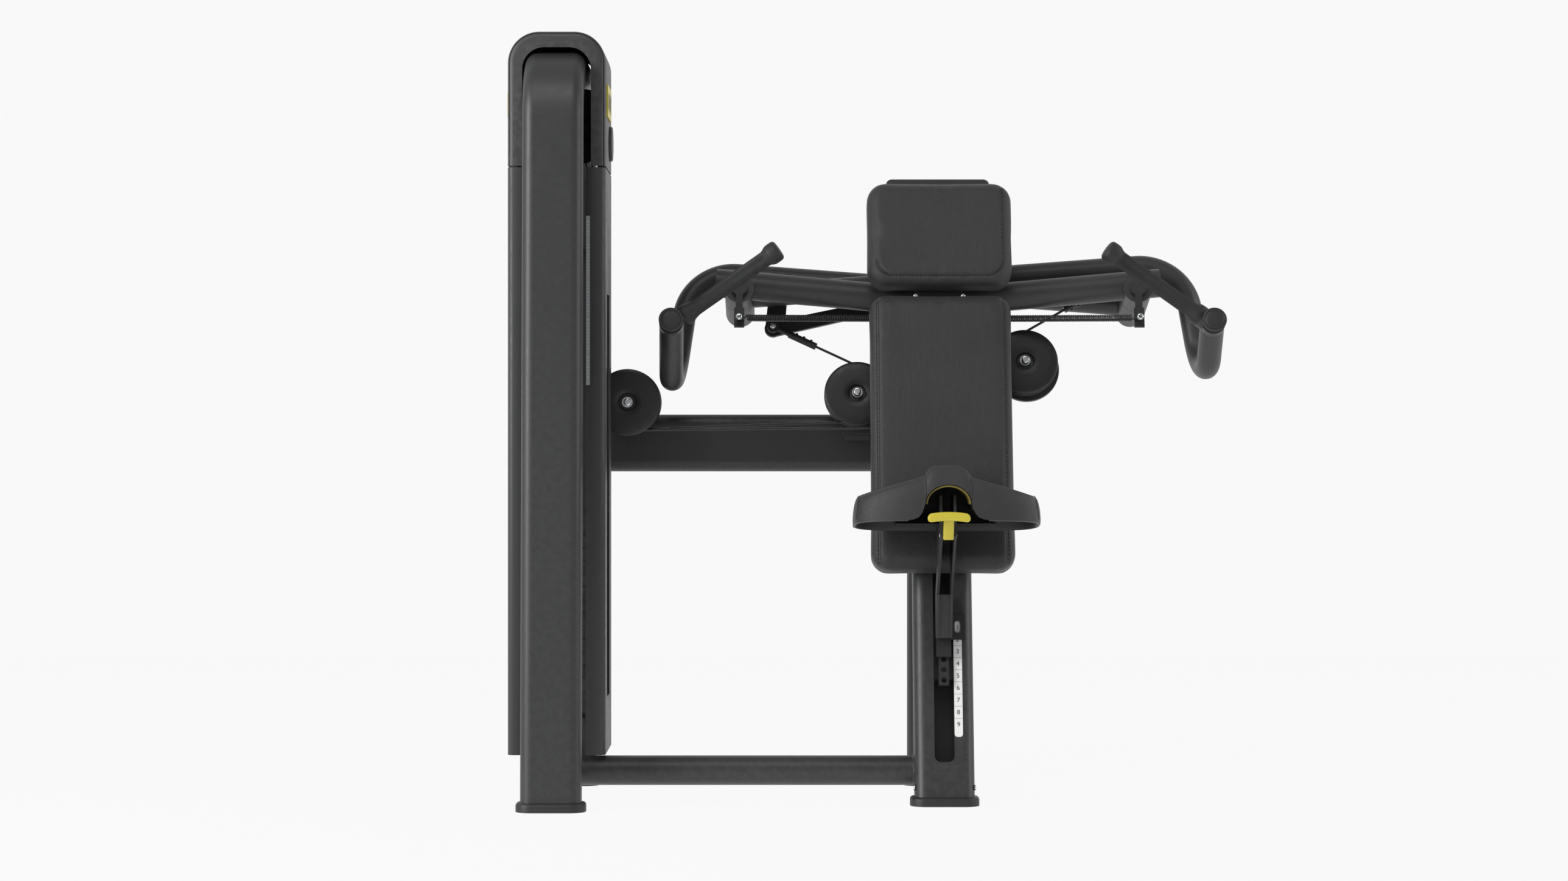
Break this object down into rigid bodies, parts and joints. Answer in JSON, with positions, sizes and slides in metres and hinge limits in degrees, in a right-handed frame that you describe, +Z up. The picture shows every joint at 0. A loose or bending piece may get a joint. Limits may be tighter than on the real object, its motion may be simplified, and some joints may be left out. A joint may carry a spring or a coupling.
{
  "type": "shoulder press machine",
  "caption": "Weight-stack shoulder press: crossed press arms on a leaning seat post, saddle seat, back and head pads, and a cable-driven covered stack tower",
  "frame": {"origin": "on the floor, at the centre of the seat post's foot", "axes": "+Z up; -Y is the front, where the user faces; +X is toward the user's left"},
  "size_m": [1.3914, 0.6045, 1.48],
  "materials": {
    "frame_paint": "satin powder coat, anthracite grey",
    "cover_paint": "fine-textured satin powder coat, anthracite grey",
    "black_plastic": "matte moulded black",
    "black_steel": "black powder coat",
    "grip_rubber": "ribbed matte rubber",
    "chrome": "bright plated steel",
    "cable": "nylon-coated wire rope",
    "spring_steel": "black oxide spring wire",
    "pulley_nylon": "moulded nylon",
    "stack_iron": "black painted steel plate",
    "yellow_plastic": "moulded bright yellow",
    "yellow_label": "printed bright yellow plate",
    "label": "printed grey plate",
    "white_label": "printed white strip",
    "upholstery": "grained black vinyl upholstery"
  },
  "bodies": {
    "frame": {"foot_plates": "black_plastic", "tower_frame": "frame_paint", "base_rails": "frame_paint", "cross_tube": "frame_paint", "cross_beam": "frame_paint", "beam_link": "frame_paint", "rear_post": "frame_paint", "seat_post": "frame_paint", "left_yoke": "frame_paint", "right_yoke": "frame_paint", "left_spring": "spring_steel", "right_spring": "spring_steel", "pulley_axles": "chrome", "pulley_brackets": "frame_paint", "tower_bracket": "frame_paint", "top_bracket": "frame_paint", "left_cable_run": "cable", "right_cable_run": "cable", "left_arm_cable": "cable", "right_arm_cable": "cable", "stack_cables": "cable", "resting_plates": "stack_iron", "guide_rods": "chrome", "stack_base": "frame_paint", "rod_top_plate": "frame_paint", "hood": "cover_paint", "left_cover": "cover_paint", "right_cover": "cover_paint", "instruction_plate": "label", "hood_plates": "yellow_label", "scale_strip": "white_label", "pad_boards": "black_plastic", "back_pad": "upholstery", "head_pad": "upholstery"},
    "left_press_arm": {"left_arm": "frame_paint", "left_shaft": "black_steel", "left_grip": "grip_rubber", "left_end_cap": "black_plastic", "left_cable_plate": "black_steel", "left_cable_end": "chrome"},
    "right_press_arm": {"right_arm": "frame_paint", "right_shaft": "black_steel", "right_grip": "grip_rubber", "right_end_cap": "black_plastic", "right_cable_plate": "black_steel", "right_cable_end": "chrome"},
    "left_pulley": {"left_pulley": "pulley_nylon"},
    "right_pulley": {"right_pulley": "pulley_nylon"},
    "centre_pulley": {"centre_pulley": "pulley_nylon"},
    "tower_pulley": {"tower_pulley": "pulley_nylon"},
    "top_pulley": {"top_pulley": "pulley_nylon"},
    "weight_carriage": {"top_plate": "stack_iron", "lifted_plates": "stack_iron", "selector_stem": "chrome"},
    "selector_pin": {"selector_pin": "yellow_plastic"},
    "seat": {"seat_cushion": "upholstery", "seat_shell": "black_plastic", "seat_bracket": "black_steel", "height_pointer": "black_plastic"},
    "seat_lever": {"seat_lever": "yellow_plastic"}
  },
  "joints": [
    {"name": "right_arm_hinge", "type": "hinge", "parent": "frame", "child": "right_press_arm", "pos_m": [-0.395, 0.27429, 0.98907], "axis": [0, -0.9636, 0.2672], "range_deg": [0, 40], "deforming": ["left_spring", "right_arm_cable"]},
    {"name": "left_arm_hinge", "type": "hinge", "parent": "frame", "child": "left_press_arm", "pos_m": [0.395, 0.27429, 0.98907], "axis": [0, 0.9636, -0.2672], "range_deg": [0, 40.5], "deforming": ["right_spring", "left_arm_cable"]},
    {"name": "stack_lift", "type": "slide", "parent": "frame", "child": "weight_carriage", "axis": [0, 0, 1], "range_m": [0, 0.24], "deforming": ["stack_cables"]},
    {"name": "pin_pull", "type": "slide", "parent": "weight_carriage", "child": "selector_pin", "axis": [1, 0, 0], "range_m": [0, 0.105]},
    {"name": "left_pulley_turn", "type": "hinge", "parent": "frame", "child": "left_pulley", "pos_m": [-0.16, 0.30965, 0.78728], "axis": [0, 0.9636, -0.2672], "range_deg": [-240, 0]},
    {"name": "right_pulley_turn", "type": "hinge", "parent": "frame", "child": "right_pulley", "pos_m": [0.174, 0.29405, 0.85076], "axis": [0, 0.9636, -0.2672], "range_deg": [0, 260]},
    {"name": "centre_pulley_turn", "type": "hinge", "parent": "frame", "child": "centre_pulley", "pos_m": [0.064, 0.27321, 0.7756], "axis": [0, 0.9636, -0.2672], "range_deg": [-260, 0]},
    {"name": "tower_pulley_turn", "type": "hinge", "parent": "frame", "child": "tower_pulley", "pos_m": [-0.617, 0.275, 0.772], "axis": [0, 1, 0], "range_deg": [-250, 0]},
    {"name": "top_pulley_turn", "type": "hinge", "parent": "frame", "child": "top_pulley", "pos_m": [-0.718, 0.17, 1.305], "axis": [0.9041, -0.4274, 0], "range_deg": [-250, 0]},
    {"name": "seat_height", "type": "slide", "parent": "frame", "child": "seat", "axis": [0, 0.2672, 0.9636], "range_m": [-0.19, 0]},
    {"name": "seat_release", "type": "hinge", "parent": "seat", "child": "seat_lever", "pos_m": [0, -0.135, 0.519], "axis": [1, 0, 0], "range_deg": [-14, 0], "stiffness_Nm_per_rad": 0.6}
  ],
  "couplings": [
    {"joint": "left_arm_hinge", "follows": "right_arm_hinge", "ratio": 1},
    {"joint": "stack_lift", "follows": "right_arm_hinge", "m_per_rad": 0.34},
    {"joint": "left_pulley_turn", "follows": "right_arm_hinge", "ratio": -5.93},
    {"joint": "right_pulley_turn", "follows": "right_arm_hinge", "ratio": 6.4},
    {"joint": "centre_pulley_turn", "follows": "right_arm_hinge", "ratio": -6.4},
    {"joint": "tower_pulley_turn", "follows": "right_arm_hinge", "ratio": -6.18},
    {"joint": "top_pulley_turn", "follows": "right_arm_hinge", "ratio": -6.18}
  ]
}
